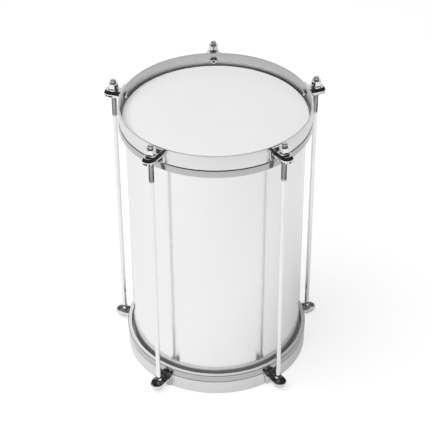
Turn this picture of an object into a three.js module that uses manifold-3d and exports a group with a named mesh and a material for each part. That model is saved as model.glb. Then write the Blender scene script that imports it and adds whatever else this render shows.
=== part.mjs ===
// A repinique: a small two-headed drum with an aluminium shell and five long tension rods.
// Millimetres, +Z up. The drum stands on its lower rim, and the origin is on the floor,
// under the middle of its outline. The pieces of each end are written for the upper end,
// where height 0 is the rim, and a second set turned upside down makes the lower end.
import * as THREE from 'three';
import { mergeVertices } from 'three/addons/utils/BufferGeometryUtils.js';
import Module from 'manifold-3d';

const wasm = await Module();
wasm.setup();

// Shell
const shellDiameter = 198;
const shellDepth = 300;
const shellWall = 1.5;
const edgeRadius = 3.2;
const edgeLip = 3;

// Heads, and the channels that hold their films
const filmThickness = 0.35;
const crownPastShell = 0.2;
const crownRadius = 1.2;
const filmTuck = 5.5;
const channelHeight = 9;
const channelWidth = 3.4;
const channelWall = 0.7;
const channelShoulder = 1.1;
const collarRoom = 3.6;

// Counterhoops
const hoopHeight = 17;
const hoopWall = 1.8;
const hoopRound = 0.5;
const rimProud = 15;

// Ears, pressed from sheet
const earCount = 5;
const earWidth = 15;
const earDepth = 6.8;
const earInset = 4;
const earBevelWidth = 2;
const earBevelDrop = 3.6;
const earSheet = 1.6;
const earPastRod = 3.5;
const plateWidth = 20;
const plateHeight = 16;
const plateInset = 0.5;
const plateCorner = 3;
const plateSheet = 1.8;

// Rivets that hold the ears
const rivetBelowRim = 9.5;
const rivetShank = 4.8;
const rivetHead = 8.5;
const rivetHeadHeight = 2;
const rivetTail = 6.8;
const rivetTailHeight = 1.5;

// Tension rods, washers and nuts
const rodFromHoop = 11.5;
const rodDiameter = 5.3;
const rodEndAboveRim = 8;
const threadDiameter = 6;
const threadLength = 44;
const threadChamfer = 0.7;
const rodHoleDiameter = 7;
const rodHeadDiameter = 10;
const rodHeadHeight = 2.2;
const rodHeadRound = 1.2;
const rodCollarDiameter = 8;
const rodCollarLength = 5.5;
const rodCollarLift = 1;
const washerDiameter = 12;
const washerThickness = 1.5;
const nutAcrossFlats = 10;
const nutHeight = 6;
const nutChamfer = 0.8;

// Room between pieces that bear on each other, and how far a cut runs past a face
const seatGap = 0.3;
const overrun = 2;

// Sides of round things
const ringSides = 50;
const tipSides = 6;
const bendSteps = 3;
const roundSides = 12;
const smallSides = 10;

// Sizes that follow from those above
const shellRadius = shellDiameter / 2;
const channelInner = shellRadius + collarRoom;
const hoopRadius = channelInner + channelWidth;
const hoopInner = hoopRadius - hoopWall;
const overallHeight = shellDepth + 2 * rimProud;
const channelTop = -hoopHeight - seatGap;
const channelBottom = channelTop - channelHeight;
const rodCircle = hoopRadius + rodFromHoop;
const earTipCentre = rodCircle + earPastRod;
const earHalfWidth = earWidth / 2;
const plateInner = hoopRadius + seatGap;
const plateOuter = plateInner + plateSheet;
const plateMiddle = -plateInset - plateHeight / 2;
const rivetHeight = -rivetBelowRim;
const pitchAngle = 2 * Math.PI / earCount;

const materials = {
  shell: { color: 0xe4e5e6, roughness: 0.28, metalness: 1 },
  film: { color: 0xe6e6e4, roughness: 0.42, metalness: 0 },
  channel: { color: 0xd2d3d4, roughness: 0.34, metalness: 1 },
  hoop: { color: 0xc9cacc, roughness: 0.38, metalness: 1 },
  chrome: { color: 0xd8d9db, roughness: 0.14, metalness: 1 },
  rivet: { color: 0xb9babc, roughness: 0.3, metalness: 1 },
};

function named(name, geometry, look) {
  const mesh = new THREE.Mesh(geometry, new THREE.MeshStandardMaterial(materials[look]));
  mesh.name = name;
  return mesh;
}

// Points [radius, height], listed with the metal on the left hand, turned about Z
function revolve(profile, sides) {
  const points = profile.map(([radius, height]) => new THREE.Vector2(radius, height));
  const first = points[0];
  if (first.x > 0) points.push(first.clone());
  return new THREE.LatheGeometry(points, sides).rotateX(Math.PI / 2).rotateZ(Math.PI / 2);
}

// Points along an arc, angles counted from the outward direction towards +Z
function arc(centre, radius, from, to, steps) {
  const points = [];
  for (let i = 0; i <= steps; i += 1) {
    const angle = from + (to - from) * i / steps;
    points.push([centre[0] + radius * Math.cos(angle), centre[1] + radius * Math.sin(angle)]);
  }
  return points;
}

function solidOf(geometry) {
  const bare = geometry.clone();
  bare.deleteAttribute('normal');
  bare.deleteAttribute('uv');
  const merged = mergeVertices(bare);
  const corners = merged.index.array;
  const kept = [];
  for (let i = 0; i < corners.length; i += 3) {
    const [a, b, c] = [corners[i], corners[i + 1], corners[i + 2]];
    if (a !== b && b !== c && c !== a) kept.push(a, b, c);
  }
  const vertProperties = Float32Array.from(merged.attributes.position.array);
  return new wasm.Manifold(new wasm.Mesh({ numProp: 3, vertProperties, triVerts: Uint32Array.from(kept) }));
}

function geometryOf(solid) {
  const { vertProperties, triVerts, numProp } = solid.getMesh();
  const geometry = new THREE.BufferGeometry();
  geometry.setAttribute('position', new THREE.BufferAttribute(Float32Array.from(vertProperties), numProp));
  geometry.setIndex(new THREE.BufferAttribute(Uint32Array.from(triVerts), 1));
  geometry.computeVertexNormals();
  return geometry;
}

// A round bar from one height to another, for pins and for cutting holes
function bar(diameter, from, to, sides) {
  const length = to - from;
  return new THREE.CylinderGeometry(diameter / 2, diameter / 2, length, sides)
    .rotateX(Math.PI / 2)
    .translate(0, 0, from + length / 2);
}

// Shell: a rolled sheet tube whose two edges are turned inwards over a round bearing edge
function shellGeometry() {
  const bend = [shellRadius - edgeRadius, shellDepth / 2 - edgeRadius];
  const lipEnd = bend[0] - edgeLip;
  const outside = arc(bend, edgeRadius, 0, Math.PI / 2, bendSteps);
  const inside = arc(bend, edgeRadius - shellWall, Math.PI / 2, 0, bendSteps - 1);
  const top = [
    ...outside,
    [lipEnd, shellDepth / 2],
    [lipEnd, shellDepth / 2 - shellWall],
    ...inside,
  ];
  const bottom = [...top].reverse().map(([radius, height]) => [radius, -height]);
  return revolve([...top, ...bottom], ringSides);
}

// Angle on a round bend at which a sheet leaves it straight for a point further out
function leavingAngle(centre, radius, target) {
  const [across, down] = [target[0] - centre[0], target[1] - centre[1]];
  return Math.atan2(down, across) + Math.acos(radius / Math.hypot(across, down));
}

// Head film: moulded flat with a round crown just outside the shell. Its collar runs down to
// the channel, folds round the inner wall and is tucked in against the outer one.
function filmGeometry() {
  const under = crownRadius;
  const over = under + filmThickness;
  const bend = [shellRadius + crownPastShell, -rimProud + seatGap - under];
  const foldTop = channelBottom - seatGap;
  const foldBottom = foldTop - filmThickness;
  const skirtOver = [channelInner - seatGap, foldTop];
  const skirtUnder = [skirtOver[0] - filmThickness, foldBottom];
  const tuckedTop = foldTop + filmTuck;
  const tuckedFar = hoopRadius - channelWall - seatGap;
  const tuckedNear = tuckedFar - filmThickness;
  const leaveUnder = leavingAngle(bend, under, skirtUnder);
  const leaveOver = leavingAngle(bend, over, skirtOver);
  return revolve([
    [0, bend[1] + under],
    ...arc(bend, under, Math.PI / 2, leaveUnder, bendSteps - 1),
    skirtUnder,
    [tuckedFar, foldBottom],
    [tuckedFar, tuckedTop],
    [tuckedNear, tuckedTop],
    [tuckedNear, foldTop],
    skirtOver,
    ...arc(bend, over, leaveOver, Math.PI / 2, bendSteps - 1),
    [0, bend[1] + over],
  ], ringSides);
}

// Channel: an aluminium U with its mouth towards the drum's middle
function channelGeometry() {
  const shoulder = channelShoulder;
  const innerMouth = channelInner + channelWall;
  const outerMouth = hoopRadius - channelWall;
  const roof = channelTop - channelWall;
  return revolve([
    [hoopRadius, channelBottom],
    ...arc([hoopRadius - shoulder, channelTop - shoulder], shoulder, 0, Math.PI / 2, 2),
    ...arc([channelInner + shoulder, channelTop - shoulder], shoulder, Math.PI / 2, Math.PI, 1),
    [channelInner, channelBottom],
    [innerMouth, channelBottom],
    [innerMouth, roof],
    [outerMouth, roof],
    [outerMouth, channelBottom],
  ], ringSides);
}

function turnedToEar(geometry, index) {
  return geometry.clone().rotateZ(index * pitchAngle);
}

// Counterhoop: a flat band with a rounded rim, drilled once for each ear
function hoopGeometry() {
  const band = solidOf(revolve([
    [hoopRadius, -hoopHeight],
    [hoopRadius, -hoopRound],
    [hoopRadius - hoopRound, 0],
    [hoopInner + hoopRound, 0],
    [hoopInner, -hoopRound],
    [hoopInner, -hoopHeight],
  ], ringSides));
  const hole = bar(rivetShank + 2 * seatGap, hoopInner - overrun, hoopRadius + overrun, smallSides)
    .rotateY(Math.PI / 2)
    .translate(0, 0, rivetHeight);
  let drilled = band;
  for (let i = 0; i < earCount; i += 1) {
    drilled = drilled.subtract(solidOf(turnedToEar(hole, i)));
  }
  return geometryOf(drilled);
}

// A tongue with a round tip and a bevel round its roof: outlines of the same shape at its
// foot, at the bevel's foot and at its roof, where they are drawn in
function tongueGeometry(halfWidth, root, foot, roof, bevelWidth, bevelDrop) {
  const levels = [[0, foot], [0, roof - bevelDrop], [bevelWidth, roof]];
  const positions = [];
  for (const [drawnIn, height] of levels) {
    const radius = halfWidth - drawnIn;
    positions.push(root, -radius, height);
    for (const [x, y] of arc([earTipCentre, 0], radius, -Math.PI / 2, Math.PI / 2, tipSides)) {
      positions.push(x, y, height);
    }
    positions.push(root, radius, height);
  }
  const around = tipSides + 3;
  const index = [];
  for (let level = 0; level + 1 < levels.length; level += 1) {
    for (let i = 0; i < around; i += 1) {
      const next = (i + 1) % around;
      const [a, b] = [level * around + i, level * around + next];
      index.push(a, b, b + around, a, b + around, a + around);
    }
  }
  const last = (levels.length - 1) * around;
  for (let i = 1; i + 1 < around; i += 1) {
    index.push(0, i + 1, i);
    index.push(last, last + i, last + i + 1);
  }
  const geometry = new THREE.BufferGeometry();
  geometry.setAttribute('position', new THREE.Float32BufferAttribute(positions, 3));
  geometry.setIndex(index);
  return geometry;
}

// Back plate of an ear: sheet bent to the hoop's curve, with round corners
function plateSolid() {
  const reach = Math.asin((plateWidth / 2 + overrun) / plateInner);
  const bent = new THREE.Shape([
    ...arc([0, 0], plateOuter, -reach, reach, 2 * bendSteps),
    ...arc([0, 0], plateInner, reach, -reach, 2 * bendSteps),
  ].map(([x, y]) => new THREE.Vector2(x, y)));
  const sheet = new THREE.ExtrudeGeometry(bent, { depth: plateHeight + 2 * overrun, bevelEnabled: false })
    .translate(0, 0, -plateInset - plateHeight - overrun);
  const [w, h] = [plateWidth / 2 - plateCorner, plateHeight / 2 - plateCorner];
  const outline = new THREE.Shape([
    ...arc([w, h], plateCorner, 0, Math.PI / 2, bendSteps - 1),
    ...arc([-w, h], plateCorner, Math.PI / 2, Math.PI, bendSteps - 1),
    ...arc([-w, -h], plateCorner, -Math.PI, -Math.PI / 2, bendSteps - 1),
    ...arc([w, -h], plateCorner, -Math.PI / 2, 0, bendSteps - 1),
  ].map(([x, y]) => new THREE.Vector2(x, y)));
  const stamp = new THREE.ExtrudeGeometry(outline, { depth: plateOuter, bevelEnabled: false })
    .rotateX(Math.PI / 2)
    .rotateZ(Math.PI / 2)
    .translate(overrun, 0, plateMiddle);
  return solidOf(sheet).intersect(solidOf(stamp));
}

// Ear: a hollow tongue pressed from sheet, open towards the drum's middle, on its back plate.
// The hollow's bevel stands a sheet's thickness inside the outer one.
function earGeometry() {
  const foot = -earInset - earDepth;
  const inside = earHalfWidth - earSheet;
  const roof = -earInset;
  const root = plateInner + plateSheet / 2;
  const body = tongueGeometry(earHalfWidth, root, foot, roof, earBevelWidth, earBevelDrop);
  const lean = Math.atan2(earBevelWidth, earBevelDrop);
  const hollowBevelWidth = earBevelWidth - earSheet * (1 - Math.tan(Math.PI / 4 - lean / 2));
  const hollowBevelDrop = earBevelDrop - earSheet * (1 - Math.tan(lean / 2));
  const hollowRoof = roof - earSheet;
  const hollowFoot = foot - overrun;
  const hollow = tongueGeometry(inside, plateOuter, hollowFoot, hollowRoof, hollowBevelWidth, hollowBevelDrop);
  const rodHole = bar(rodHoleDiameter, foot - overrun, overrun, roundSides).translate(rodCircle, 0, 0);
  const rivetHole = bar(rivetShank + 2 * seatGap, plateInner - overrun, plateOuter + overrun, smallSides)
    .rotateY(Math.PI / 2)
    .translate(0, 0, rivetHeight);
  const pressed = solidOf(body).add(plateSolid())
    .subtract(solidOf(hollow))
    .subtract(solidOf(rodHole))
    .subtract(solidOf(rivetHole));
  return geometryOf(pressed);
}

// Rivet: a domed head inside the hoop, and a tail set over the ear's plate
function rivetGeometry() {
  const chordInner = hoopInner * Math.cos(Math.PI / ringSides);
  const headSeat = Math.sqrt(chordInner ** 2 - (rivetHead / 2) ** 2) - seatGap;
  const tailSeat = plateOuter + seatGap;
  const [domeShare, tailShare] = [0.55, 0.75];
  return revolve([
    [0, headSeat - rivetHeadHeight],
    [rivetHead / 2 * domeShare, headSeat - rivetHeadHeight],
    [rivetHead / 2, headSeat],
    [rivetShank / 2, headSeat],
    [rivetShank / 2, tailSeat],
    [rivetTail / 2, tailSeat],
    [rivetTail / 2 * tailShare, tailSeat + rivetTailHeight],
    [0, tailSeat + rivetTailHeight],
  ], smallSides).rotateY(Math.PI / 2).translate(0, 0, rivetHeight);
}

// Rod: a flat head under the lower ear, a collar over that ear's mouth, a long shank,
// and a thread through the upper ear
function rodGeometry() {
  const headTop = earInset - seatGap;
  const collarFoot = earInset + earDepth + rodCollarLift;
  const end = overallHeight + rodEndAboveRim;
  const threadFoot = end - threadLength;
  return revolve([
    [0, headTop - rodHeadHeight],
    [rodHeadDiameter / 2 - rodHeadRound, headTop - rodHeadHeight],
    [rodHeadDiameter / 2, headTop - rodHeadHeight + rodHeadRound],
    [rodHeadDiameter / 2, headTop],
    [rodDiameter / 2, headTop],
    [rodDiameter / 2, collarFoot],
    [rodCollarDiameter / 2, collarFoot],
    [rodCollarDiameter / 2, collarFoot + rodCollarLength],
    [rodDiameter / 2, collarFoot + rodCollarLength],
    [rodDiameter / 2, threadFoot],
    [threadDiameter / 2, threadFoot],
    [threadDiameter / 2, end - threadChamfer],
    [threadDiameter / 2 - threadChamfer, end],
    [0, end],
  ], roundSides);
}

function washerGeometry() {
  const foot = -earInset + seatGap;
  const bore = threadDiameter / 2 + seatGap;
  return revolve([
    [bore, foot],
    [washerDiameter / 2, foot],
    [washerDiameter / 2, foot + washerThickness],
    [bore, foot + washerThickness],
  ], roundSides);
}

// Nut: a hexagon bar with its corners turned off at both faces, and a bore
function nutGeometry() {
  const foot = -earInset + seatGap + washerThickness + seatGap;
  const top = foot + nutHeight;
  const acrossCorners = nutAcrossFlats / Math.cos(Math.PI / 6);
  const face = acrossCorners / 2 - nutChamfer;
  const slope = nutChamfer / 2;
  const blank = bar(acrossCorners, foot, top, 6);
  const turned = revolve([
    [0, foot],
    [face, foot],
    [acrossCorners / 2, foot + slope],
    [acrossCorners / 2, top - slope],
    [face, top],
    [0, top],
  ], roundSides);
  const bore = bar(threadDiameter + 2 * seatGap, foot - overrun, top + overrun, roundSides);
  return geometryOf(solidOf(blank).intersect(solidOf(turned)).subtract(solidOf(bore)));
}

// Assembly: the group stands so that the middle of its outline is over the origin
const drum = new THREE.Group();
const reachBehind = earTipCentre + earHalfWidth;
const reachInFront = Math.max(hoopRadius, earTipCentre * Math.cos(pitchAngle / 2) + earHalfWidth);
drum.position.y = (reachInFront - reachBehind) / 2;

const shell = named('shell', shellGeometry(), 'shell');
shell.position.z = overallHeight / 2;
drum.add(shell);

const upperEnd = new THREE.Group();
upperEnd.position.z = overallHeight;
const lowerEnd = new THREE.Group();
lowerEnd.rotation.y = Math.PI;
drum.add(upperEnd, lowerEnd);

const film = filmGeometry();
const channel = channelGeometry();
const hoop = hoopGeometry().rotateZ(Math.PI / 2);
const ear = earGeometry();
const rivet = rivetGeometry();
for (const [end, place] of [[upperEnd, 'top'], [lowerEnd, 'bottom']]) {
  end.add(named(`${place}_head_film`, film.clone(), 'film'));
  end.add(named(`${place}_head_channel`, channel.clone(), 'channel'));
  end.add(named(`${place}_counterhoop`, hoop.clone(), 'hoop'));
}

const rod = rodGeometry();
const washer = washerGeometry();
const nut = nutGeometry();
for (let i = 0; i < earCount; i += 1) {
  const number = i + 1;
  const turn = Math.PI / 2 + i * pitchAngle;
  for (const [end, place, side] of [[upperEnd, 'top', turn], [lowerEnd, 'bottom', Math.PI - turn]]) {
    const station = new THREE.Group();
    station.rotation.z = side;
    station.add(named(`${place}_ear_${number}`, ear.clone(), 'chrome'));
    station.add(named(`${place}_ear_rivet_${number}`, rivet.clone(), 'rivet'));
    end.add(station);
  }
  const line = new THREE.Group();
  line.position.set(rodCircle * Math.cos(turn), rodCircle * Math.sin(turn), 0);
  line.rotation.z = turn;
  line.add(named(`tension_rod_${number}`, rod.clone(), 'chrome'));
  const fastening = new THREE.Group();
  fastening.position.z = overallHeight;
  fastening.add(named(`washer_${number}`, washer.clone(), 'chrome'));
  fastening.add(named(`tension_nut_${number}`, nut.clone(), 'chrome'));
  line.add(fastening);
  drum.add(line);
}

export default drum;
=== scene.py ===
import math

import bmesh
import bpy
from mathutils import Matrix, Vector


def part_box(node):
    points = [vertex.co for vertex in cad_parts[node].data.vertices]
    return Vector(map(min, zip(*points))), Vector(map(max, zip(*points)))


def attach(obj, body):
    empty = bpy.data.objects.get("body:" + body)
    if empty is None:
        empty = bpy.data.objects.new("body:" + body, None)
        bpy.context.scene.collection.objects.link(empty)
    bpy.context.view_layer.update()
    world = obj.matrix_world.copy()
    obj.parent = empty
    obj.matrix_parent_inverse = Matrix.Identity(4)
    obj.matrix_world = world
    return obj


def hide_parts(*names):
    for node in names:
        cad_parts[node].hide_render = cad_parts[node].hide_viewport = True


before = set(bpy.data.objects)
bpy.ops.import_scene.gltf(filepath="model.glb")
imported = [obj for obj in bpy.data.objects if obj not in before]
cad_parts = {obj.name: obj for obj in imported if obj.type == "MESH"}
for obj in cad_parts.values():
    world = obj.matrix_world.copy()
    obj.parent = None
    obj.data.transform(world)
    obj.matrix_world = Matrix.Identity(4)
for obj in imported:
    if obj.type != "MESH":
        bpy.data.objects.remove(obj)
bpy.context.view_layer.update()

# The drum's axis, and the height of its upper rim. Every piece below is placed from the
# boxes of the frame's nodes, in metres, with the drum standing on its lower rim.
shell_low, shell_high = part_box("shell")
axis = (shell_low + shell_high) / 2
axis.z = 0
rim_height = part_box("top_counterhoop")[1].z
mm = 0.001


# Camera: a long lens, looking down on the front of the drum from about 36 degrees, and
# turned about one degree from the plane through the rear rod.
photo_side = 432
focal_pixels = 1458.7
camera_place = Vector((-26.4, -1343.5, 1166.0)) * mm + axis
camera_target = Vector((-0.1, 0.0, 176.7)) * mm + axis
camera_roll = math.radians(-0.234)

camera_data = bpy.data.cameras.new("camera")
camera_data.sensor_width = 36.0
camera_data.lens = focal_pixels * camera_data.sensor_width / photo_side
camera = bpy.data.objects.new("camera", camera_data)
bpy.context.collection.objects.link(camera)
camera.location = camera_place
facing = (camera_target - camera_place).to_track_quat("-Z", "Y").to_matrix().to_4x4()
camera.rotation_euler = (facing @ Matrix.Rotation(camera_roll, 4, "Z")).to_euler()
bpy.context.scene.camera = camera
bpy.context.scene.view_settings.view_transform = "Standard"


# Studio: a table-top sweep of white paper under two soft lamps, in a dark room. Bright metal
# mirrors the white near it, and black where it faces the room beyond the paper's edges. The
# lamps themselves show in no reflection.
floor_half = 7.0
floor_colour = (0.9, 0.9, 0.9, 1)
paper_edge = 1.6
paper_fade = 0.6
paper_glow = 1.2
glow_seen = 0.6
glow_mirrored = 0.2
lamp_aim = Vector((0, 0, 0.15))
room_glow = 0.03
backdrop_glow = 1.0
overhead_start = 0.92
backdrop_fade = 0.05
soft_sky = 0.25
sky_off_metal = 0.8


def new_material(name):
    material = bpy.data.materials.new(name)
    material.use_nodes = True
    tree = material.node_tree
    tree.nodes.clear()
    output = tree.nodes.new("ShaderNodeOutputMaterial")
    return material, tree, output


def add(tree, kind, **settings):
    node = tree.nodes.new(kind)
    for key, value in settings.items():
        setattr(node, key, value)
    return node


def maths(tree, operation, first, second=None, third=None):
    """One step of arithmetic on links and numbers. Those that are None are left out."""
    node = add(tree, "ShaderNodeMath", operation=operation)
    for socket, value in zip(node.inputs, (first, second, third)):
        if value is None:
            continue
        if isinstance(value, (int, float)):
            socket.default_value = value
        else:
            tree.links.new(value, socket)
    return node.outputs[0]


def parts_of(tree, vector):
    """The X, Y and Z of a vector."""
    split = add(tree, "ShaderNodeSeparateXYZ")
    tree.links.new(vector, split.inputs[0])
    return split.outputs


def soft_step(tree, value, start, end, low=0.0, high=1.0):
    """Goes smoothly from low to high while the value goes from start to end."""
    node = add(tree, "ShaderNodeMapRange", interpolation_type="SMOOTHSTEP")
    tree.links.new(value, node.inputs["Value"])
    ranges = {"From Min": start, "From Max": end, "To Min": low, "To Max": high}
    for socket, setting in ranges.items():
        node.inputs[socket].default_value = setting
    return node.outputs[0]


def emission(tree, strength):
    node = add(tree, "ShaderNodeEmission")
    node.inputs["Strength"].default_value = strength
    return node.outputs[0]


def mixed(tree, factor, first, second):
    """The first shader where the factor is 0, the second where it is 1."""
    node = add(tree, "ShaderNodeMixShader")
    for socket, source in zip(node.inputs, (factor, first, second)):
        tree.links.new(source, socket)
    return node.outputs[0]


def floor_material():
    """White paper that glows a little when seen or mirrored. Metal sees it end in the dark, and
    from below it is clear."""
    material, tree, output = new_material("studio_floor")
    diffuse = add(tree, "ShaderNodeBsdfDiffuse")
    diffuse.inputs["Color"].default_value = floor_colour
    path = add(tree, "ShaderNodeLightPath")
    mirrored = path.outputs["Is Glossy Ray"]
    seen = maths(tree, "MAXIMUM",
                 path.outputs["Is Camera Ray"], path.outputs["Is Transmission Ray"])
    glow = maths(tree, "MAXIMUM", maths(tree, "MULTIPLY", seen, glow_seen),
                 maths(tree, "MULTIPLY", mirrored, glow_mirrored))
    paper = mixed(tree, glow, diffuse.outputs[0], emission(tree, paper_glow))

    x, y, z = parts_of(tree, add(tree, "ShaderNodeTexCoord").outputs["Object"])
    sideways = maths(tree, "ABSOLUTE", x)
    forward = maths(tree, "MULTIPLY", y, -1.0)
    past_edge = soft_step(tree, maths(tree, "MAXIMUM", sideways, forward),
                          paper_edge, paper_edge + paper_fade)
    lit = mixed(tree, maths(tree, "MULTIPLY", past_edge, mirrored),
                paper, emission(tree, room_glow))
    clear = add(tree, "ShaderNodeBsdfTransparent")
    geometry = add(tree, "ShaderNodeNewGeometry")
    surface = mixed(tree, geometry.outputs["Backfacing"], lit, clear.outputs[0])
    tree.links.new(surface, output.inputs["Surface"])
    return material


floor_mesh = bpy.data.meshes.new("studio_floor")
corners = [(x * floor_half, y * floor_half, 0) for x, y in ((-1, -1), (1, -1), (1, 1), (-1, 1))]
floor_mesh.from_pydata(corners, [], [(0, 1, 2, 3)])
floor = bpy.data.objects.new("studio_floor", floor_mesh)
bpy.context.collection.objects.link(floor)
floor_mesh.materials.append(floor_material())


def soft_lamp(name, place, side, power):
    data = bpy.data.lights.new(name, "AREA")
    data.shape = "SQUARE"
    data.size = side
    data.energy = power
    lamp = bpy.data.objects.new(name, data)
    bpy.context.collection.objects.link(lamp)
    lamp.location = place
    lamp.rotation_euler = (lamp_aim - Vector(place)).to_track_quat("-Z", "Y").to_euler()
    lamp.visible_glossy = False


soft_lamp("overhead_lamp", place=(-0.8, -0.3, 2.4), side=2.0, power=60)
soft_lamp("fill_lamp", place=(1.6, -1.4, 1.8), side=1.6, power=7)


def studio_world():
    """White for the camera. Metal mirrors white behind the drum and overhead, and the dark room
    elsewhere. Plain surfaces get an even soft light, and more of it by way of metal beside them,
    which brightens the gaps round the heads."""
    world = bpy.data.worlds.new("studio")
    bpy.context.scene.world = world
    world.use_nodes = True
    tree = world.node_tree
    tree.nodes.clear()
    x, y, z = parts_of(tree, add(tree, "ShaderNodeTexCoord").outputs["Generated"])
    behind = maths(tree, "SUBTRACT", y, maths(tree, "ABSOLUTE", x))
    above = maths(tree, "SUBTRACT", z, overhead_start)
    room = soft_step(tree, maths(tree, "MAXIMUM", behind, above),
                     0.0, backdrop_fade, room_glow, backdrop_glow)

    path = add(tree, "ShaderNodeLightPath")
    off_metal = path.outputs["Is Glossy Ray"]
    bounced = maths(tree, "GREATER_THAN", path.outputs["Diffuse Depth"], 0.5)
    mirrored = maths(tree, "GREATER_THAN", off_metal, bounced)
    reflected = maths(tree, "MULTIPLY", room, mirrored)
    plain = maths(tree, "MULTIPLY", maths(tree, "SUBTRACT", 1.0, mirrored), soft_sky)
    passed_on = maths(tree, "MULTIPLY", maths(tree, "MULTIPLY", bounced, off_metal), sky_off_metal)
    lit = maths(tree, "ADD", reflected, maths(tree, "MAXIMUM", plain, passed_on))
    strength = maths(tree, "MAXIMUM", lit, path.outputs["Is Camera Ray"])

    background = add(tree, "ShaderNodeBackground")
    tree.links.new(strength, background.inputs["Strength"])
    output = add(tree, "ShaderNodeOutputWorld")
    tree.links.new(background.outputs[0], output.inputs["Surface"])


studio_world()


# Shell: one sheet of aluminium rolled into a tube and butt welded, its two edges turned
# inwards over a round bearing edge. It is polished on a lathe, so fine lines run round it.
def outer_radius(node):
    low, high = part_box(node)
    return max(high.x - low.x, high.y - low.y) / 2


shell_radius = outer_radius("shell")
shell_wall = 1.5 * mm
edge_radius = 3.2 * mm
edge_lip = 3 * mm
ring_sides = 240
sharp_edge = 35
seam_behind = math.radians(126)


def arc(centre, radius, start, end, steps):
    """Points along an arc, from one angle to another in degrees."""
    points = []
    for i in range(steps + 1):
        angle = math.radians(start + (end - start) * i / steps)
        points.append((centre[0] + radius * math.cos(angle), centre[1] + radius * math.sin(angle)))
    return points


def shaded(mesh, sharp):
    """Smooth shading, apart from edges that turn by more than an angle in degrees."""
    mesh.polygons.foreach_set("use_smooth", [True] * len(mesh.polygons))
    mesh.set_sharp_from_angle(angle=math.radians(sharp))
    return mesh


def skinned(name, loops, closed=False):
    """Joins loops of points into one surface: closed on itself, or capped at both ends."""
    around = len(loops[0])
    points = [point for loop in loops for point in loop]
    faces = []
    spans = len(loops) if closed else len(loops) - 1
    for k in range(spans):
        low, high = k * around, (k + 1) % len(loops) * around
        for i in range(around):
            j = (i + 1) % around
            faces.append((low + i, low + j, high + j, high + i))
    if not closed:
        faces.append(tuple(reversed(range(around))))
        faces.append(tuple(range((len(loops) - 1) * around, len(loops) * around)))
    mesh = bpy.data.meshes.new(name)
    mesh.from_pydata(points, [], faces)
    shaded(mesh, sharp_edge)
    mesh.update()
    return mesh


def ring_loops(profile, sides):
    """A loop round the axis for each point of a profile of radius and height."""
    loops = []
    for radius, height in profile:
        loop = []
        for i in range(sides):
            turn = 2 * math.pi * i / sides
            loop.append((radius * math.cos(turn), radius * math.sin(turn), height))
        loops.append(loop)
    return loops


def turned(name, profile):
    """A closed profile swept once round the drum's axis."""
    return skinned(name, ring_loops(profile, ring_sides), closed=True)


def placed(name, mesh, place, body, node, material):
    """Puts a piece at the drum's axis on the floor, with its place in its mesh."""
    mesh.transform(place)
    mesh.materials.append(material)
    piece = bpy.data.objects.new(name, mesh)
    piece.location = axis
    bpy.context.collection.objects.link(piece)
    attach(piece, body)
    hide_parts(node)


def lifted(height):
    return Matrix.Translation((0, 0, height))


def new_group(name, inputs, outputs):
    group = bpy.data.node_groups.new(name, "ShaderNodeTree")
    face = group.interface
    for key, value in inputs.items():
        socket = face.new_socket(key, in_out="INPUT", socket_type="NodeSocketFloat")
        socket.default_value = value
    for key in outputs:
        face.new_socket(key, in_out="OUTPUT", socket_type="NodeSocketFloat")
    return group, add(group, "NodeGroupInput"), add(group, "NodeGroupOutput")


def noise_of(tree, vector, scale, detail):
    """Noise at a place. The scale is a number or a link."""
    node = add(tree, "ShaderNodeTexNoise")
    node.inputs["Detail"].default_value = detail
    tree.links.new(vector, node.inputs["Vector"])
    if isinstance(scale, (int, float)):
        node.inputs["Scale"].default_value = scale
    else:
        tree.links.new(scale, node.inputs["Scale"])
    return node.outputs["Fac"]


def lines_group():
    """Fine lines left by polishing on a lathe: they run round the axis and vary along it."""
    group, enter, leave = new_group(
        "turned_lines", {"Spacing": 0.5 * mm, "Wander": 6.0}, ("Fine", "Broad"))
    wander = enter.outputs["Wander"]
    rate = maths(group, "DIVIDE", 1.0, enter.outputs["Spacing"])
    join = add(group, "ShaderNodeCombineXYZ")
    place = parts_of(group, add(group, "ShaderNodeTexCoord").outputs["Object"])
    for part, stretch, socket in zip(place, (wander, wander, rate), join.inputs):
        group.links.new(maths(group, "MULTIPLY", part, stretch), socket)
    for key, scale, detail in (("Fine", 1.0, 3.0), ("Broad", 0.13, 2.0)):
        group.links.new(noise_of(group, join.outputs[0], scale, detail), leave.inputs[key])
    return group


def seam_group():
    """A butt weld across a band: a narrow upright line at one angle round the axis."""
    group, enter, leave = new_group("weld_seam", {"Angle": 0.0, "Width": 1.2 * mm}, ("Seam",))
    cosine = maths(group, "COSINE", enter.outputs["Angle"])
    sine = maths(group, "SINE", enter.outputs["Angle"])
    x, y, z = parts_of(group, add(group, "ShaderNodeTexCoord").outputs["Object"])
    sideways = maths(group, "SUBTRACT",
                     maths(group, "MULTIPLY", y, cosine), maths(group, "MULTIPLY", x, sine))
    along = maths(group, "ADD",
                  maths(group, "MULTIPLY", x, cosine), maths(group, "MULTIPLY", y, sine))
    share = maths(group, "DIVIDE", maths(group, "ABSOLUTE", sideways), enter.outputs["Width"])
    line = maths(group, "MAXIMUM", maths(group, "SUBTRACT", 1.0, share), 0.0)
    this_side = maths(group, "GREATER_THAN", along, 0.0)
    group.links.new(maths(group, "MULTIPLY", line, this_side), leave.inputs["Seam"])
    return group


turned_lines = lines_group()
weld_seam = seam_group()


def use_group(tree, group, **values):
    node = add(tree, "ShaderNodeGroup", node_tree=group)
    for key, value in values.items():
        node.inputs[key].default_value = value
    return node


def between(tree, factor, low, high):
    """Low where the factor is 0, high where it is 1."""
    node = add(tree, "ShaderNodeMapRange")
    tree.links.new(factor, node.inputs["Value"])
    node.inputs["To Min"].default_value = low
    node.inputs["To Max"].default_value = high
    return node.outputs[0]


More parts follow.
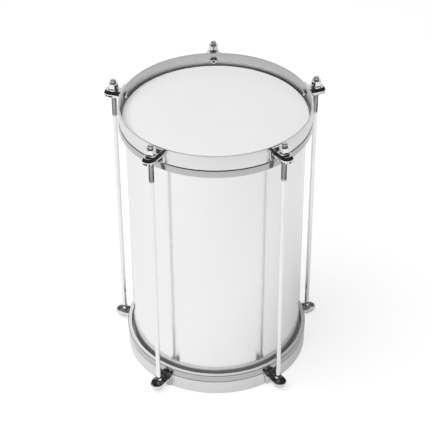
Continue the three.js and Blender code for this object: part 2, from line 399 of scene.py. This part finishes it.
def blended(tree, factor, first, second):
    """A colour between two. Each is three numbers or a link."""
    node = add(tree, "ShaderNodeMix", data_type="RGBA")
    tree.links.new(factor, node.inputs["Factor"])
    for key, colour in (("A", first), ("B", second)):
        if isinstance(colour, tuple):
            node.inputs[key].default_value = (*colour, 1)
        else:
            tree.links.new(colour, node.inputs[key])
    return node.outputs["Result"]


def bumped(tree, shader, height, strength, depth):
    node = add(tree, "ShaderNodeBump")
    node.inputs["Strength"].default_value = strength
    node.inputs["Distance"].default_value = depth
    tree.links.new(height, node.inputs["Height"])
    tree.links.new(node.outputs[0], shader.inputs["Normal"])


def grey(level):
    return (level, level, level)


def turned_metal(name, light, dark, rough, spread, grain, seam_angle):
    """Bright metal with lines run round it, a grain apart, which spread its reflections, and one
    weld with a dull, slightly raised bead."""
    bead_colour = (0.42, 0.42, 0.43)
    bead_share = 0.6
    bead_height = 3.0
    line_strength = 0.12
    line_depth = 0.02 * mm
    quarter_turn = 0.25
    material, tree, output = new_material(name)
    shader = add(tree, "ShaderNodeBsdfPrincipled")
    lines = use_group(tree, turned_lines, Spacing=grain)
    seam = use_group(tree, weld_seam, Angle=seam_angle).outputs["Seam"]
    tint = blended(tree, lines.outputs["Broad"], dark, light)
    marked = blended(tree, maths(tree, "MULTIPLY", seam, bead_share), tint, bead_colour)
    tree.links.new(marked, shader.inputs["Base Color"])
    tree.links.new(between(tree, lines.outputs["Fine"], *rough), shader.inputs["Roughness"])
    shader.inputs["Metallic"].default_value = 1.0
    shader.inputs["Anisotropic"].default_value = spread
    shader.inputs["Anisotropic Rotation"].default_value = quarter_turn
    tangent = add(tree, "ShaderNodeTangent", direction_type="RADIAL", axis="Z")
    tree.links.new(tangent.outputs[0], shader.inputs["Tangent"])
    height = maths(tree, "ADD", lines.outputs["Fine"], maths(tree, "MULTIPLY", seam, bead_height))
    bumped(tree, shader, height, line_strength, line_depth)
    tree.links.new(shader.outputs[0], output.inputs["Surface"])
    return material


def shell_profile():
    top = shell_high.z
    bottom = shell_low.z
    middle = (top + bottom) / 2
    bend = (shell_radius - edge_radius, top - edge_radius)
    lip_end = bend[0] - edge_lip
    upper = [
        *arc(bend, edge_radius, 0, 90, 10),
        (lip_end, top),
        (lip_end, top - shell_wall),
        *arc(bend, edge_radius - shell_wall, 90, 0, 6),
    ]
    lower = [(radius, 2 * middle - height) for radius, height in reversed(upper)]
    return upper + lower


shell_metal = turned_metal("turned_aluminium", light=grey(0.9), dark=grey(0.86),
                           rough=(0.14, 0.2), spread=0.6, grain=0.5 * mm, seam_angle=seam_behind)
placed("shell_tube", turned("shell_tube", shell_profile()),
       lifted(0), "drum", "shell", shell_metal)


# Heads: milky polyester film, moulded flat with a round crown just outside the shell's edge. Its
# collar runs down to the channel, folds round the inner wall and is tucked in against the outer.
film_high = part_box("top_head_film")[1]
channel_low, channel_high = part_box("top_head_channel")
film_thickness = 0.35 * mm
crown_radius = 1.5 * mm
seat_gap = 0.3 * mm
channel_width = 3.7 * mm
channel_wall = 0.7 * mm
film_tuck = 5.5 * mm
tuck_gap = 0.05 * mm
fold_round = 0.3 * mm
channel_proud = 0.3 * mm
channel_outer = outer_radius("top_head_channel") + channel_proud
channel_inner = channel_outer - channel_width
crown_centre = channel_inner - seat_gap - film_thickness - crown_radius


def leaving_angle(centre, radius, target):
    """Where a straight line to the target leaves a circle without a corner."""
    out, up = target[0] - centre[0], target[1] - centre[1]
    return math.degrees(math.atan2(up, out) + math.acos(radius / math.hypot(out, up)))


def film_profile():
    """Measured down from the rim: the underside outwards, and the upper side back."""
    under = crown_radius
    over = under + film_thickness
    bend = (crown_centre, film_high.z - rim_height - over)
    fold_top = channel_low.z - rim_height - tuck_gap
    fold_bottom = fold_top - film_thickness
    skirt_over = (channel_inner - seat_gap, fold_top)
    skirt_under = (skirt_over[0] - film_thickness, fold_bottom)
    tucked_far = channel_outer - channel_wall - tuck_gap
    tucked_near = tucked_far - film_thickness
    tucked_top = fold_top + film_tuck
    centre = 0.2 * mm
    flat_shares = [0.25, 0.5, 0.75, 0.95]
    return [
        (centre, bend[1] + under),
        *[(bend[0] * share, bend[1] + under) for share in flat_shares],
        *arc(bend, under, 90, leaving_angle(bend, under, skirt_under), 10),
        skirt_under,
        *arc((tucked_far - fold_round, fold_bottom + fold_round), fold_round, -90, 0, 4),
        (tucked_far, tucked_top),
        (tucked_near, tucked_top),
        (tucked_near, fold_top),
        skirt_over,
        *arc(bend, over, leaving_angle(bend, over, skirt_over), 90, 10),
        *[(bend[0] * share, bend[1] + over) for share in reversed(flat_shares)],
        (centre, bend[1] + over),
    ]


def film_material():
    """Milky plastic, a little uneven in tone, with a fine grain under a soft gloss."""
    cloud_scale, cloud_detail = 28, 4
    grain_scale, grain_detail = 1400, 2
    gloss, gloss_roughness = 0.25, 0.25
    grain_strength = 0.15
    grain_depth = 0.02 * mm
    material, tree, output = new_material("milky_film")
    shader = add(tree, "ShaderNodeBsdfPrincipled")
    place = add(tree, "ShaderNodeTexCoord").outputs["Object"]
    cloud = noise_of(tree, place, cloud_scale, cloud_detail)
    grain = noise_of(tree, place, grain_scale, grain_detail)
    milky = blended(tree, cloud, (0.72, 0.72, 0.715), grey(0.755))
    tree.links.new(milky, shader.inputs["Base Color"])
    tree.links.new(between(tree, grain, 0.3, 0.46), shader.inputs["Roughness"])
    shader.inputs["Coat Weight"].default_value = gloss
    shader.inputs["Coat Roughness"].default_value = gloss_roughness
    bumped(tree, shader, grain, grain_strength, grain_depth)
    tree.links.new(shader.outputs[0], output.inputs["Surface"])
    return material


def end_place(end):
    """Where a piece drawn down from the upper rim goes, as it is or turned over."""
    if end == "top":
        return lifted(rim_height)
    return Matrix.Rotation(math.pi, 4, "Y")


film = film_material()
for end in ("top", "bottom"):
    placed(f"{end}_film", turned(f"{end}_film", film_profile()), end_place(end),
           "drum", f"{end}_head_film", film)


# Channels: each film's edge sits in an extruded aluminium channel, bent into a hoop and welded,
# with its mouth towards the other head. The counterhoop bears on its closed side.
channel_shoulder = 1.6 * mm
lip_round = 0.08 * mm
seam_in_front = math.radians(-25.5)


def channel_profile():
    top = channel_high.z - rim_height
    mouth = channel_low.z - rim_height
    inner_mouth = channel_inner + channel_wall
    outer_mouth = channel_outer - channel_wall
    roof = top - channel_wall
    shoulder = top - channel_shoulder
    return [
        (outer_mouth + lip_round, mouth),
        *arc((channel_outer - lip_round, mouth + lip_round), lip_round, -90, 0, 3),
        *arc((channel_outer - channel_shoulder, shoulder), channel_shoulder, 0, 90, 8),
        *arc((channel_inner + channel_shoulder, shoulder), channel_shoulder, 90, 180, 8),
        *arc((channel_inner + lip_round, mouth + lip_round), lip_round, 180, 270, 3),
        (inner_mouth, mouth),
        (inner_mouth, roof),
        (outer_mouth, roof),
        (outer_mouth, mouth),
    ]


# The channel's colour is well below bare aluminium: partly the satin aluminium's own duller tone,
# partly painted shade for the counterhoop's shadow over it.
shaded_channel_metal = turned_metal("channel_aluminium", light=grey(0.53), dark=grey(0.49),
                             rough=(0.1, 0.18), spread=0.2, grain=0.4 * mm,
                             seam_angle=seam_in_front)
for end in ("top", "bottom"):
    placed(f"{end}_channel", turned(f"{end}_channel", channel_profile()), end_place(end),
           "drum", f"{end}_head_channel", shaded_channel_metal)


# Counterhoops: flat metal strip bent into a hoop, butt welded, its rim rounded and its outside
# polished, while the inside stays rougher, as it was rolled, and takes a painted shade colour.
# Five rivet holes; it bears on the channel.
hoop_low, hoop_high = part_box("top_counterhoop")
hoop_height = hoop_high.z - hoop_low.z
hoop_radius = outer_radius("top_counterhoop")
hoop_wall = 1.8 * mm
hoop_inner = hoop_radius - hoop_wall
rim_round = 0.3 * mm
foot_round = 0.15 * mm
foot_past = 0.2 * mm
ear_count = 5
ear_angles = [math.radians(90 + 360 / ear_count * i) for i in range(ear_count)]
rivet_height = -9.5 * mm
rivet_hole = 5.4 * mm
drill_sides = 32
overrun = 2 * mm


def hoop_profile():
    foot = -hoop_height - foot_past
    return [
        *arc((hoop_radius - foot_round, foot + foot_round), foot_round, -90, 0, 2),
        *arc((hoop_radius - rim_round, -rim_round), rim_round, 0, 90, 6),
        *arc((hoop_inner + rim_round, -rim_round), rim_round, 90, 180, 6),
        *arc((hoop_inner + foot_round, foot + foot_round), foot_round, 180, 270, 2),
    ]


def pin(diameter, start, end, sides):
    """A round bar along Z, for cutting holes."""
    return skinned("pin", ring_loops([(diameter / 2, start), (diameter / 2, end)], sides))


def along_spoke(mesh, height, turn=0.0):
    """Lays a bar made along Z outwards along a spoke of the drum, at a height from the rim."""
    spoke = Matrix.Rotation(turn, 4, "Z") @ lifted(height) @ Matrix.Rotation(math.pi / 2, 4, "Y")
    mesh.transform(spoke)
    return mesh


def combined(name, blank, steps):
    """A blank after boolean steps, each an operation and the other solid."""
    base = bpy.data.objects.new(name, blank)
    bpy.context.collection.objects.link(base)
    others = []
    for operation, mesh in steps:
        other = bpy.data.objects.new("other", mesh)
        bpy.context.collection.objects.link(other)
        other.hide_render = True
        others.append(other)
        step = base.modifiers.new(operation, "BOOLEAN")
        step.operation = operation
        step.object = other
        step.solver = "EXACT"
    graph = bpy.context.evaluated_depsgraph_get()
    made = bpy.data.meshes.new_from_object(base.evaluated_get(graph))
    for spare in [base, *others]:
        spare_mesh = spare.data
        bpy.data.objects.remove(spare)
        bpy.data.meshes.remove(spare_mesh)
    made.name = name
    return shaded(made, sharp_edge)


def rolled_hoop_metal(name, light, dark, inside, seam_angle):
    """Polished strip whose inner face is left rougher, as it came from the rolls, and given its
    own colour: painted shade for the hollow round the head.
    """
    dulling = 0.12
    polish_reach = 0.25 * mm
    material = turned_metal(name, light, dark, rough=(0.2, 0.3), spread=0.5, grain=0.35 * mm,
                            seam_angle=seam_angle)
    tree = material.node_tree
    shader = next(node for node in tree.nodes if node.type == "BSDF_PRINCIPLED")
    colour = shader.inputs["Base Color"].links[0].from_socket
    rough = shader.inputs["Roughness"].links[0].from_socket
    flat = add(tree, "ShaderNodeVectorMath", operation="MULTIPLY")
    tree.links.new(add(tree, "ShaderNodeTexCoord").outputs["Object"], flat.inputs[0])
    flat.inputs[1].default_value = (1, 1, 0)
    distance = add(tree, "ShaderNodeVectorMath", operation="LENGTH")
    tree.links.new(flat.outputs[0], distance.inputs[0])
    unpolished = hoop_inner + polish_reach
    dull = maths(tree, "LESS_THAN", distance.outputs["Value"], unpolished)
    # The inner face's colour is painted shade for the hollow round the head; its added roughness
    # is the rolled finish.
    tree.links.new(blended(tree, dull, colour, inside), shader.inputs["Base Color"])
    tree.links.new(maths(tree, "MULTIPLY_ADD", dull, dulling, rough), shader.inputs["Roughness"])
    return material


# The lower hoop is the same strip as the upper, but darker in colour: painted shade, standing in
# for the shadowed floor it mirrors near the drum's foot.
hoop_tones_lower_shaded = (("top", seam_behind, 0.81, 0.77), ("bottom", seam_in_front, 0.75, 0.71))
for end, seam_angle, light, dark in hoop_tones_lower_shaded:
    holes = []
    for turn in ear_angles:
        drill = pin(rivet_hole, hoop_inner - overrun, hoop_radius + overrun, drill_sides)
        holes.append(("DIFFERENCE", along_spoke(drill, rivet_height, turn)))
    hoop = combined(f"{end}_hoop", turned("strip", hoop_profile()), holes)
    hoop_metal = rolled_hoop_metal(f"{end}_hoop_metal", grey(light), grey(dark), inside=grey(0.72),
                                   seam_angle=seam_angle)
    placed(f"{end}_hoop", hoop, end_place(end),
           "drum", f"{end}_counterhoop", hoop_metal)


# Ears: each pressed from steel sheet into a hollow tongue with a round tip, flared at its root
# into a back plate bent to the hoop, then plated. Its mouth faces the other ear on the rod.
ear_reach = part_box("top_ear_1")[1].y - axis.y
ear_half = 7.5 * mm
ear_inset = 4 * mm
ear_depth = 6.8 * mm
ear_bevel_width = 2 * mm
ear_bevel_drop = 3.6 * mm
ear_bend = 0.8 * mm
ear_sheet = 1.6 * mm
ear_flare = 0.7 * mm
ear_edge = 0.22 * mm
sharp_to_round = 38
sharp_once_rounded = 50
plate_width = 20 * mm
plate_height = 16 * mm
plate_middle = -8.5 * mm
plate_corner = 3 * mm
plate_sheet = 1.8 * mm
plate_inner = hoop_radius + seat_gap
plate_outer = plate_inner + plate_sheet
tip_centre = ear_reach - ear_half
rod_past_hoop = 11.5 * mm
rod_circle = hoop_radius + rod_past_hoop
rod_hole = 7 * mm
rod_hole_sides = 48


def outward(start, end):
    """The side of a step along an outline that faces away from the metal."""
    out, up = end[0] - start[0], end[1] - start[1]
    length = math.hypot(out, up)
    return up / length, -out / length


def eased(corners, radius, steps=4):
    """An open outline with its corners drawn as arcs, each with a short straight lead at both
    ends. Each point carries its outward direction."""
    points = [(*corners[0], *outward(corners[0], corners[1]))]
    for before, corner, after in zip(corners, corners[1:], corners[2:]):
        first, second = outward(before, corner), outward(corner, after)
        spread = 1 + first[0] * second[0] + first[1] * second[1]
        centre = [corner[i] - (first[i] + second[i]) * radius / spread for i in (0, 1)]
        lead = radius / 3
        start, end = math.atan2(first[1], first[0]), math.atan2(second[1], second[0])
        for i in range(-1, steps + 2):
            turn = start + (end - start) * min(max(i, 0), steps) / steps
            facing = (math.cos(turn), math.sin(turn))
            past = lead * (max(i - steps, 0) - max(-i, 0))
            points.append((centre[0] + radius * facing[0] - past * facing[1],
                           centre[1] + radius * facing[1] + past * facing[0], *facing))
    points.append((*corners[-1], *outward(corners[-2], corners[-1])))
    return points


def tongue(half, foot, roof, bevel_width, bevel_drop, root, flare, bend):
    """A solid with a round tip and a bevel round its roof, its walls and roof flaring at its
    root. One section is carried out from the plate, round the tip and back, and it follows the
    plate's bend less and less towards the tip."""
    flare_steps = 6
    tip_steps = 32
    section = eased([(half, foot), (half, roof - bevel_drop), (half - bevel_width, roof),
                     (0, roof)], bend)
    out = tip_centre - plate_outer
    stations = [(root, flare)]
    if flare:
        for i in range(flare_steps + 1):
            turn = math.pi / 2 * i / flare_steps
            stations.append((flare * (1 - math.cos(turn)), flare * (1 - math.sin(turn))))
    stations.append((out / 2, 0))
    path = [(distance, -90, grow) for distance, grow in stations]
    path += [(out, -90 + 180 * i / tip_steps, 0) for i in range(tip_steps + 1)]
    path += [(distance, 90, grow) for distance, grow in reversed(stations)]

    shape = bmesh.new()
    grid = []
    for distance, bearing, grow in path:
        turn = math.radians(bearing)
        column = []
        for width, height, side, up in section:
            width += grow * side
            sag = plate_outer - math.sqrt(plate_outer ** 2 - width ** 2)
            x = plate_outer + distance + math.cos(turn) * width
            if distance < out:
                x -= sag * (1 - max(distance, 0) / out)
            column.append(shape.verts.new((x, math.sin(turn) * width, height + grow * up)))
        grid.append(column)
    for here, there in zip(grid, grid[1:]):
        for i in range(len(section) - 1):
            shape.faces.new((here[i], there[i], there[i + 1], here[i + 1]))
    shape.faces.new([column[0] for column in reversed(grid)])
    shape.faces.new([*grid[0], *reversed(grid[-1])])
    bmesh.ops.remove_doubles(shape, verts=shape.verts, dist=0.001 * mm)
    return finished(shape, "tongue")


def finished(shape, name):
    mesh = bpy.data.meshes.new(name)
    shape.to_mesh(mesh)
    shape.free()
    return mesh


def block(outline, low, high):
    """An upright prism over an outline that runs anticlockwise seen from above."""
    return skinned("block", [[(x, y, height) for x, y in outline] for height in (low, high)])


def bent_plate():
    """The ear's back plate: sheet bent to the hoop, stamped out with round corners."""
    reach = math.degrees(math.asin((plate_width / 2 + overrun) / plate_inner))
    bent = [
        *arc((0, 0), plate_outer, -reach, reach, 24),
        *arc((0, 0), plate_inner, reach, -reach, 24),
    ]
    w, h = plate_width / 2 - plate_corner, plate_height / 2 - plate_corner
    outline = [
        *arc((w, h), plate_corner, 0, 90, 8),
        *arc((-w, h), plate_corner, 90, 180, 8),
        *arc((-w, -h), plate_corner, 180, 270, 8),
        *arc((w, -h), plate_corner, -90, 0, 8),
    ]
    stamp = block(outline, plate_inner - overrun, plate_outer + overrun)
    stamp.transform(Matrix.Rotation(math.pi / 2, 4, "X"))
    stamp.transform(Matrix.Rotation(math.pi / 2, 4, "Z"))
    stamp.transform(lifted(plate_middle))
    sheet = block(bent, plate_middle - plate_height, plate_middle + plate_height)
    return combined("plate", sheet, [("INTERSECT", stamp)])


def softened(mesh, width, name):
    """A mesh with its sharp edges rounded."""
    base = bpy.data.objects.new(name, mesh)
    bpy.context.collection.objects.link(base)
    round_off = base.modifiers.new("round_off", "BEVEL")
    round_off.width = width
    round_off.segments = 2
    round_off.limit_method = "ANGLE"
    round_off.angle_limit = math.radians(sharp_to_round)
    graph = bpy.context.evaluated_depsgraph_get()
    made = bpy.data.meshes.new_from_object(base.evaluated_get(graph))
    bpy.data.objects.remove(base)
    made.name = name
    return shaded(made, sharp_once_rounded)


def pressed_ear():
    """The tongue and its plate, hollowed to an even sheet, with holes for the rod and rivet."""
    foot = -ear_inset - ear_depth
    body = tongue(ear_half, foot, -ear_inset, ear_bevel_width, ear_bevel_drop,
                  root=-plate_sheet / 2, flare=ear_flare, bend=ear_bend)
    lean = math.atan2(ear_bevel_width, ear_bevel_drop)
    hollow_width = ear_bevel_width - ear_sheet * (1 - math.tan(math.pi / 4 - lean / 2))
    hollow_drop = ear_bevel_drop - ear_sheet * (1 - math.tan(lean / 2))
    hollow = tongue(ear_half - ear_sheet, foot - overrun, -ear_inset - ear_sheet,
                    hollow_width, hollow_drop, root=0, flare=0, bend=ear_bend / 2)
    drill = pin(rod_hole, foot - overrun, overrun, rod_hole_sides)
    drill.transform(Matrix.Translation((rod_circle, 0, 0)))
    rivet_drill = pin(rivet_hole, plate_inner - overrun, plate_outer + overrun, drill_sides)
    steps = [
        ("UNION", bent_plate()),
        ("DIFFERENCE", hollow),
        ("DIFFERENCE", drill),
        ("DIFFERENCE", along_spoke(rivet_drill, rivet_height)),
    ]
    return softened(combined("ear", body, steps), ear_edge, "ear")


def smears_group():
    """Handling marks on bright metal: broad soft smears and hair-fine scratches."""
    detail = 3
    slant = (0.4, 0.7, 0.5)
    group, enter, leave = new_group(
        "smears", {"Size": 6 * mm, "Scratch": 0.15 * mm}, ("Smear", "Scratches"))
    place = add(group, "ShaderNodeTexCoord").outputs["Object"]
    kinds = (("Smear", "Size", (1, 1, 1)), ("Scratches", "Scratch", (1, 0.05, 0.3)))
    for key, size, stretch in kinds:
        laid = add(group, "ShaderNodeMapping")
        laid.inputs["Rotation"].default_value = slant
        laid.inputs["Scale"].default_value = stretch
        group.links.new(place, laid.inputs["Vector"])
        scale = maths(group, "DIVIDE", 1.0, enter.outputs[size])
        group.links.new(noise_of(group, laid.outputs[0], scale, detail), leave.inputs[key])
    return group


smears = smears_group()


def plated_metal(name, light, dark, rough, dent):
    """Bright metal with handling marks, and dents as deep as the last value."""
    scratch_share = 0.3
    dent_strength = 0.2
    material, tree, output = new_material(name)
    shader = add(tree, "ShaderNodeBsdfPrincipled")
    marks = use_group(tree, smears)
    smear = marks.outputs["Smear"]
    tree.links.new(blended(tree, smear, dark, light), shader.inputs["Base Color"])
    tree.links.new(between(tree, smear, *rough), shader.inputs["Roughness"])
    shader.inputs["Metallic"].default_value = 1.0
    height = maths(tree, "MULTIPLY_ADD", marks.outputs["Scratches"], scratch_share, smear)
    bumped(tree, shader, height, dent_strength, dent)
    tree.links.new(shader.outputs[0], output.inputs["Surface"])
    return material


def spoke_place(end, turn):
    """Where a piece made for the rear ear's spoke goes, at either end of the drum."""
    if end == "top":
        return end_place(end) @ Matrix.Rotation(turn, 4, "Z")
    return end_place(end) @ Matrix.Rotation(math.pi - turn, 4, "Z")


ear_chrome = plated_metal("ear_chrome", light=(0.8, 0.8, 0.81), dark=(0.74, 0.74, 0.75),
                          rough=(0.07, 0.16), dent=0.15 * mm)
ear_pattern = pressed_ear()
for end in ("top", "bottom"):
    for number, turn in enumerate(ear_angles, 1):
        placed(f"{end}_pressed_ear_{number}", ear_pattern.copy(), spoke_place(end, turn),
               "drum", f"{end}_ear_{number}", ear_chrome)


# Rivets: aluminium, one through the hoop and each ear's plate. The domed head, with a small hole
# in its middle, is inside the hoop, and the tail is hammered over the plate in the ear's hollow.
rivet_low, rivet_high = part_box("top_ear_rivet_1")
rivet_start = rivet_low.y - axis.y
rivet_end = rivet_high.y - axis.y
rivet_shank = 4.8 * mm
rivet_head = 8.5 * mm
rivet_head_rise = 2 * mm
rivet_tail = 6.8 * mm
rivet_tail_rise = 1.5 * mm
rivet_edge = 0.3 * mm
rivet_bore = 3 * mm
rivet_bore_depth = 2.4 * mm
rivet_sides = 40


def dome(radius, base, rise, steps):
    """Half the outline of a dome from its edge to near its middle. It faces the drum's axis
    where its rise is below 0."""
    points = []
    near_middle = math.radians(88)
    for i in range(steps + 1):
        turn = near_middle * i / steps
        points.append((radius * math.cos(turn), base + rise * math.sin(turn)))
    return points


def rivet_mesh():
    """Turned about its own length, from the foot of the small hole to the tail."""
    seat = rivet_start + rivet_head_rise
    tail_seat = rivet_end - rivet_tail_rise
    bore_end = rivet_start + rivet_bore_depth
    near_axis = rivet_bore / 8
    head = dome(rivet_head / 2, seat - rivet_edge, rivet_edge - rivet_head_rise, 12)
    rounded = [(radius, height) for radius, height in reversed(head) if radius > rivet_bore / 2]
    profile = [
        (near_axis, bore_end),
        (rivet_bore / 2, bore_end),
        (rivet_bore / 2, rounded[0][1]),
        *rounded,
        (rivet_head / 2, seat),
        (rivet_shank / 2, seat),
        (rivet_shank / 2, tail_seat),
        (rivet_tail / 2, tail_seat),
        *dome(rivet_tail / 2, tail_seat + rivet_edge, rivet_tail_rise - rivet_edge, 6),
    ]
    return along_spoke(skinned("rivet", ring_loops(profile, rivet_sides)), rivet_height)


rivet_metal = plated_metal("rivet_metal", light=(0.74, 0.74, 0.75), dark=(0.66, 0.66, 0.67),
                           rough=(0.16, 0.28), dent=0.1 * mm)
rivet_pattern = rivet_mesh()
for end in ("top", "bottom"):
    for number, turn in enumerate(ear_angles, 1):
        placed(f"{end}_rivet_{number}", rivet_pattern.copy(), spoke_place(end, turn),
               "drum", f"{end}_ear_rivet_{number}", rivet_metal)


# Tension rods: drawn steel bar, plated, each through a pair of ears. A flat head bears under
# the lower ear, a collar stands over its mouth, and the upper end has a rolled thread.
rod_low, rod_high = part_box("tension_rod_1")
rod_shank = 5.3 * mm
rod_head = 10 * mm
rod_head_rise = 2.2 * mm
rod_head_round = 1.2 * mm
rod_collar = 8 * mm
rod_collar_lift = 1 * mm
rod_collar_start = ear_inset + ear_depth + rod_collar_lift
rod_collar_length = 5.5 * mm
rod_ease = 0.3 * mm
thread_size = 6 * mm
thread_length = 46 * mm
thread_pitch = 1 * mm
thread_depth = 0.6 * mm
thread_lead = 0.7 * mm
thread_lines = (0.0, 0.12, 0.5, 0.62)
lines_a_turn = len(thread_lines)
rod_sides = 24
sharp_on_rod = 30


def thread_radius(line, lines):
    """Each turn has two lines on the crest and two in the groove, which runs out over the first
    and last turn."""
    crest = thread_size / 2
    in_groove = line % lines_a_turn in (2, 3)
    runs_out = line <= lines_a_turn or line >= lines - lines_a_turn
    return crest - thread_depth if in_groove and not runs_out else crest


def rod_mesh():
    """Rings up to the thread, then lines that climb one pitch a turn, then the chamfered end."""
    shape = bmesh.new()

    def ring(radius, height, climb=0.0):
        points = []
        for i in range(rod_sides):
            turn = 2 * math.pi * i / rod_sides
            points.append(shape.verts.new((radius * math.cos(turn), radius * math.sin(turn),
                                           height + climb * i / rod_sides)))
        return points

    def band(lower, upper, left_open=0):
        for i in range(rod_sides - left_open):
            j = (i + 1) % rod_sides
            shape.faces.new((lower[i], lower[j], upper[j], upper[i]))

    bottom = rod_low.z
    head_top = bottom + rod_head_rise
    collar_end = rod_collar_start + rod_collar_length
    thread_start = rod_high.z - thread_length
    head_corner = (rod_head / 2 - rod_head_round, bottom + rod_head_round)
    profile = [
        (rod_head / 2 - rod_head_round, bottom),
        *arc(head_corner, rod_head_round, -75, 0, 5),
        (rod_head / 2, head_top - rod_ease),
        (rod_head / 2 - rod_ease, head_top),
        (rod_shank / 2, head_top),
        (rod_shank / 2, rod_collar_start),
        (rod_collar / 2 - rod_ease, rod_collar_start),
        (rod_collar / 2, rod_collar_start + rod_ease),
        (rod_collar / 2, collar_end - rod_ease),
        (rod_collar / 2 - rod_ease, collar_end),
        (rod_shank / 2, collar_end),
        (rod_shank / 2, thread_start - rod_ease),
        (thread_size / 2, thread_start),
    ]
    rings = [ring(radius, height) for radius, height in profile]
    for lower, upper in zip(rings, rings[1:]):
        band(lower, upper)
    shape.faces.new(list(reversed(rings[0])))

    turns = int((thread_length - thread_lead - rod_ease) / thread_pitch) - 1
    lines = turns * lines_a_turn
    grid = []
    for line in range(lines + 1):
        turns_up = line // lines_a_turn + thread_lines[line % lines_a_turn]
        height = thread_start + rod_ease + thread_pitch * turns_up
        grid.append(ring(thread_radius(line, lines), height, climb=thread_pitch))
    for line in range(lines):
        here, there = grid[line], grid[line + 1]
        band(here, there, left_open=1)
        above = line + lines_a_turn
        if above < lines:
            shape.faces.new((here[-1], grid[above][0], grid[above + 1][0], there[-1]))

    under, first = rings[-1], grid[0]
    band(under, first, left_open=1)
    step = [line[0] for line in grid[:lines_a_turn + 1]]
    shape.faces.new((under[-1], under[0], *step, first[-1]))
    over, last = ring(thread_size / 2, rod_high.z - thread_lead), grid[-1]
    band(last, over, left_open=1)
    step = [line[-1] for line in reversed(grid[-lines_a_turn - 1:])]
    shape.faces.new((*step, last[0], over[0], over[-1]))
    end = ring(thread_size / 2 - thread_lead, rod_high.z)
    band(over, end)
    shape.faces.new(end)
    return shaded(finished(shape, "rod"), sharp_on_rod)


def rod_material():
    """Bright drawn bar with hair lines along it. The thread is duller, and its colour is darker
    all over:
    painted shade standing in for the shade in its grooves."""
    drawn_out = (1, 1, 0.01)
    line_scale, line_detail = 2500, 2
    line_strength = 0.1
    line_depth = 0.02 * mm
    # Painted shade: the threaded end takes this darker colour in place of the shade in its
    # grooves.
    thread_shade_colour = (0.6, 0.6, 0.61)
    dulling = 0.03
    material, tree, output = new_material("rod_steel")
    shader = add(tree, "ShaderNodeBsdfPrincipled")
    marks = use_group(tree, smears, Size=14 * mm)
    place = add(tree, "ShaderNodeTexCoord").outputs["Object"]
    drawn = add(tree, "ShaderNodeMapping")
    drawn.inputs["Scale"].default_value = drawn_out
    tree.links.new(place, drawn.inputs["Vector"])
    lines = noise_of(tree, drawn.outputs[0], line_scale, line_detail)
    height = parts_of(tree, place)["Z"]
    threaded = maths(tree, "GREATER_THAN", height, rod_high.z - thread_length)
    bright = blended(tree, marks.outputs["Smear"], (0.84, 0.84, 0.85), (0.92, 0.92, 0.93))
    # The whole threaded end is painted darker: painted shade for its grooves.
    tree.links.new(blended(tree, threaded, bright, thread_shade_colour), shader.inputs["Base Color"])
    rough = maths(tree, "MULTIPLY_ADD", threaded, dulling, between(tree, lines, 0.1, 0.2))
    tree.links.new(rough, shader.inputs["Roughness"])
    shader.inputs["Metallic"].default_value = 1.0
    bumped(tree, shader, lines, line_strength, line_depth)
    tree.links.new(shader.outputs[0], output.inputs["Surface"])
    return material


def rod_place(turn):
    return Matrix.Rotation(turn, 4, "Z") @ Matrix.Translation((rod_circle, 0, 0))


rod_steel = rod_material()
rod_pattern = rod_mesh()
for number, turn in enumerate(ear_angles, 1):
    placed(f"rod_{number}", rod_pattern.copy(), rod_place(turn),
           "drum", f"tension_rod_{number}", rod_steel)


# Washers: punched from plated steel sheet, so one edge is rounded and the other is crisp. Each
# lies on an upper ear under its nut.
washer_low, washer_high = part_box("washer_1")
washer_size = outer_radius("washer_1")
washer_bore = 3.3 * mm
washer_round = 0.4 * mm
washer_ease = 0.1 * mm
washer_sides = 48


def washer_mesh():
    low, high = washer_low.z + washer_ease, washer_high.z - washer_round
    profile = [
        *arc((washer_size - washer_ease, low), washer_ease, -90, 0, 2),
        *arc((washer_size - washer_round, high), washer_round, 0, 90, 5),
        *arc((washer_bore + washer_round, high), washer_round, 90, 180, 5),
        *arc((washer_bore + washer_ease, low), washer_ease, 180, 270, 2),
    ]
    return skinned("washer", ring_loops(profile, washer_sides), closed=True)


nut_chrome = plated_metal("nut_chrome", light=(0.92, 0.92, 0.93), dark=(0.84, 0.84, 0.85),
                          rough=(0.05, 0.14), dent=0.1 * mm)
washer_pattern = washer_mesh()
for number, turn in enumerate(ear_angles, 1):
    placed(f"rod_washer_{number}", washer_pattern.copy(), rod_place(turn),
           f"washer_{number}", f"washer_{number}", nut_chrome)


# Tension nuts: plated hexagon nuts, their corners turned off at both faces. Each climbs one
# thread pitch for each turn and presses its washer on the ear.
nut_low, nut_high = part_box("tension_nut_1")
nut_flats = 10 * mm
nut_chamfer = 0.8 * mm
nut_bore = 6.6 * mm
nut_lead = 0.35 * mm
nut_past = 0.1 * mm
nut_edge = 0.12 * mm
nut_face_sides = 96
nut_bore_sides = 48


def nut_mesh():
    """A hexagon block, its corners turned off by a cone at each end, with a countersunk bore."""
    corner = nut_flats / 2 / math.cos(math.radians(30))
    face = corner - nut_chamfer
    slope = nut_chamfer / 2
    start, end = nut_low.z, nut_high.z
    hexagon = arc((0, 0), corner, 0, 300, 5)
    turned_off = skinned("turned_off", ring_loops([
        (face, start),
        (corner + nut_past, start + slope + nut_past / 2),
        (corner + nut_past, end - slope - nut_past / 2),
        (face, end),
    ], nut_face_sides))
    sunk = nut_bore / 2 + nut_lead + nut_past
    bore = skinned("bore", ring_loops([
        (sunk, start - nut_past),
        (nut_bore / 2, start + nut_lead),
        (nut_bore / 2, end - nut_lead),
        (sunk, end + nut_past),
    ], nut_bore_sides))
    steps = [("INTERSECT", turned_off), ("DIFFERENCE", bore)]
    return softened(combined("nut", block(hexagon, start, end), steps), nut_edge, "nut")


nut_pattern = nut_mesh()
for number, turn in enumerate(ear_angles, 1):
    placed(f"hexagon_nut_{number}", nut_pattern.copy(), rod_place(turn),
           f"nut_{number}", f"tension_nut_{number}", nut_chrome)
